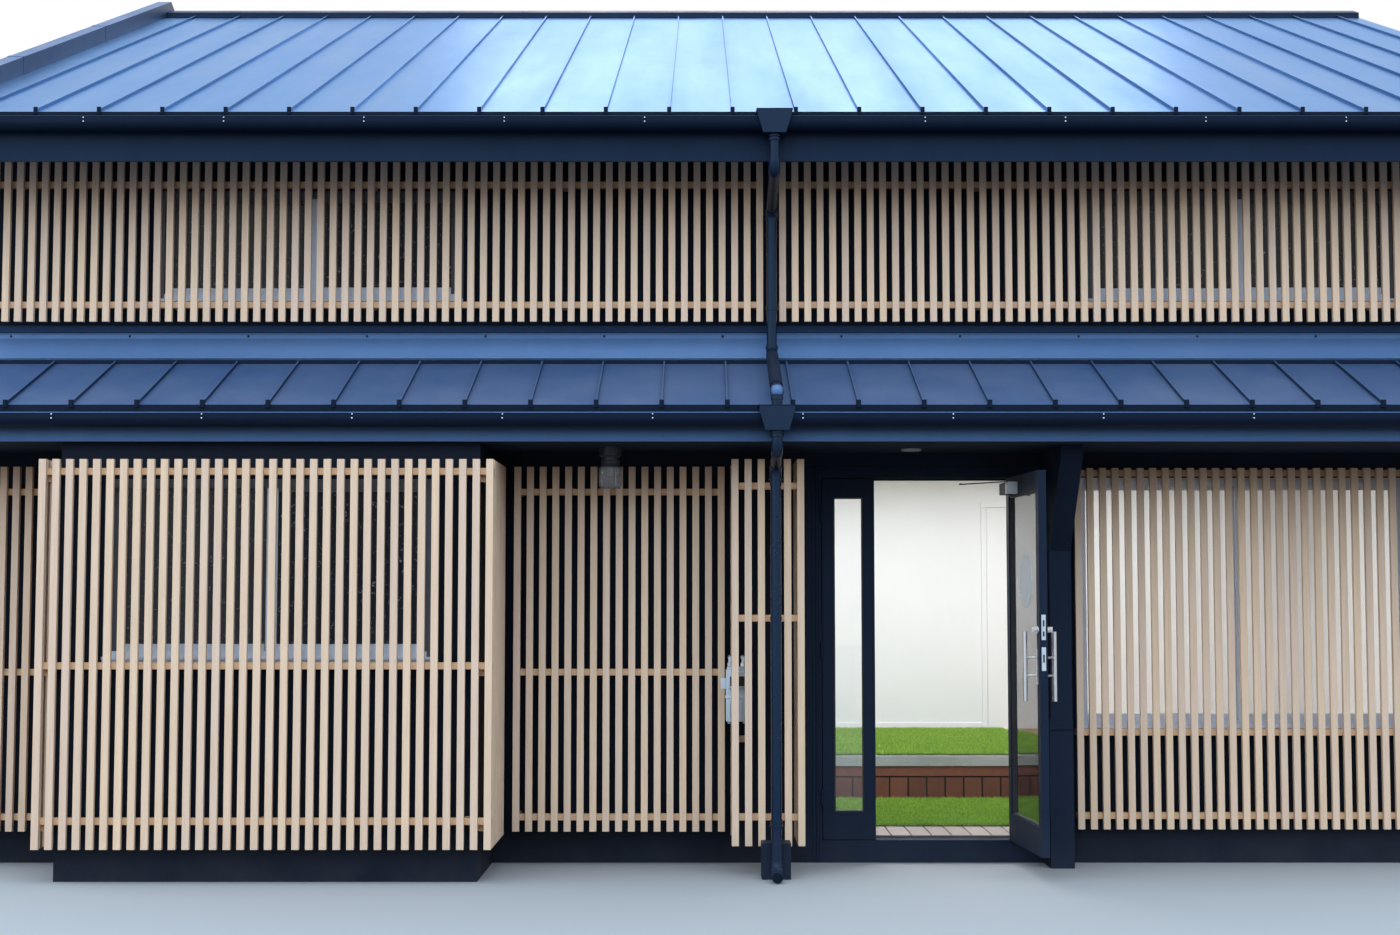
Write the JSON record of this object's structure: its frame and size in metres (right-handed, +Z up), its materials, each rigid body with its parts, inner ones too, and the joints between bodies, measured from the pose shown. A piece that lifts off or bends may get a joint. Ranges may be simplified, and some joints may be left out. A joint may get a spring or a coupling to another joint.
{
  "type": "machiya townhouse",
  "caption": "Two-storey townhouse with light timber lattices over dark walls, a standing-seam metal roof, a pent roof, a bay window and an open glazed door.",
  "frame": {"origin": "plan centre of the four outer walls, on the lowest ground level", "axes": "+X to the right along the street front, +Y from the street to the back, +Z up"},
  "size_m": [10, 10.605, 6.5446],
  "materials": {
    "timber": "planed light timber, oiled",
    "dark_board": "near-black painted wall panels",
    "navy_metal": "satin dark navy",
    "roof_metal": "satin blue-grey roofing sheet",
    "slate_metal": "satin slate-grey roofing sheet",
    "plaster": "matt white plaster",
    "concrete": "matt concrete and tile",
    "brick": "matt red-brown brick",
    "aluminium": "satin anodised",
    "steel": "brushed",
    "clear_glass": "clear",
    "frosted_glass": "frosted",
    "lamp": "ribbed glass under a dark cap",
    "meter_case": "light grey paint"
  },
  "bodies": {
    "root": {"entry_floor": "concrete", "step_riser": "brick", "raised_floor": "timber", "upper_floor": "plaster", "front_wall_left": "dark_board", "front_wall_over_door": "dark_board", "front_wall_right": "dark_board", "upper_front_wall": "dark_board", "rear_wall": "dark_board", "left_party_wall": "dark_board", "right_party_wall": "dark_board", "inner_wall": "plaster", "bay_front_wall": "dark_board", "bay_side_walls": "dark_board", "roof_front": "roof_metal", "roof_rear": "roof_metal", "ridge_cap": "slate_metal", "verge_coping": "slate_metal", "roof_fascias": "navy_metal", "pent_roof": "slate_metal", "pent_eaves": "navy_metal", "wall_flashing": "slate_metal", "gutters": "navy_metal", "upper_downpipe": "navy_metal", "lower_downpipe": "navy_metal", "downpipe_pier": "navy_metal", "bay_lattice": "timber", "bay_lattice_sides": "timber", "recess_lattice": "timber", "meter_lattice": "timber", "right_lattice": "timber", "upper_lattice": "timber", "door_frame": "navy_metal", "door_post": "navy_metal", "front_windows": "aluminium", "rear_windows": "aluminium", "clear_glass": "clear_glass", "frosted_glass": "frosted_glass", "porch_lamp": "lamp", "gas_meter": "meter_case"},
    "main_leaf": {"door_leaf": "navy_metal", "door_glass": "clear_glass", "door_pulls": "steel", "door_closer": "slate_metal"},
    "closer_arm": {"closer_arm": "slate_metal"},
    "side_leaf": {"side_leaf": "navy_metal", "side_leaf_glass": "clear_glass"}
  },
  "joints": [
    {"name": "door_swing", "type": "hinge", "parent": "root", "child": "main_leaf", "pos_m": [1.42, -4.44, 1.2], "axis": [0, 0, 1], "range_deg": [-93.5, 6.5]},
    {"name": "closer_arm_turn", "type": "hinge", "parent": "main_leaf", "child": "closer_arm", "pos_m": [1.34837, -4.64475, 2.25], "axis": [0, 0, 1], "range_deg": [-10.5, 144]},
    {"name": "side_leaf_swing", "type": "hinge", "parent": "root", "child": "side_leaf", "pos_m": [0.26, -4.44, 1.2], "axis": [0, 0, 1], "range_deg": [-90, 0]}
  ],
  "couplings": [
    {"joint": "closer_arm_turn", "follows": "door_swing", "ratio": -1.536}
  ]
}
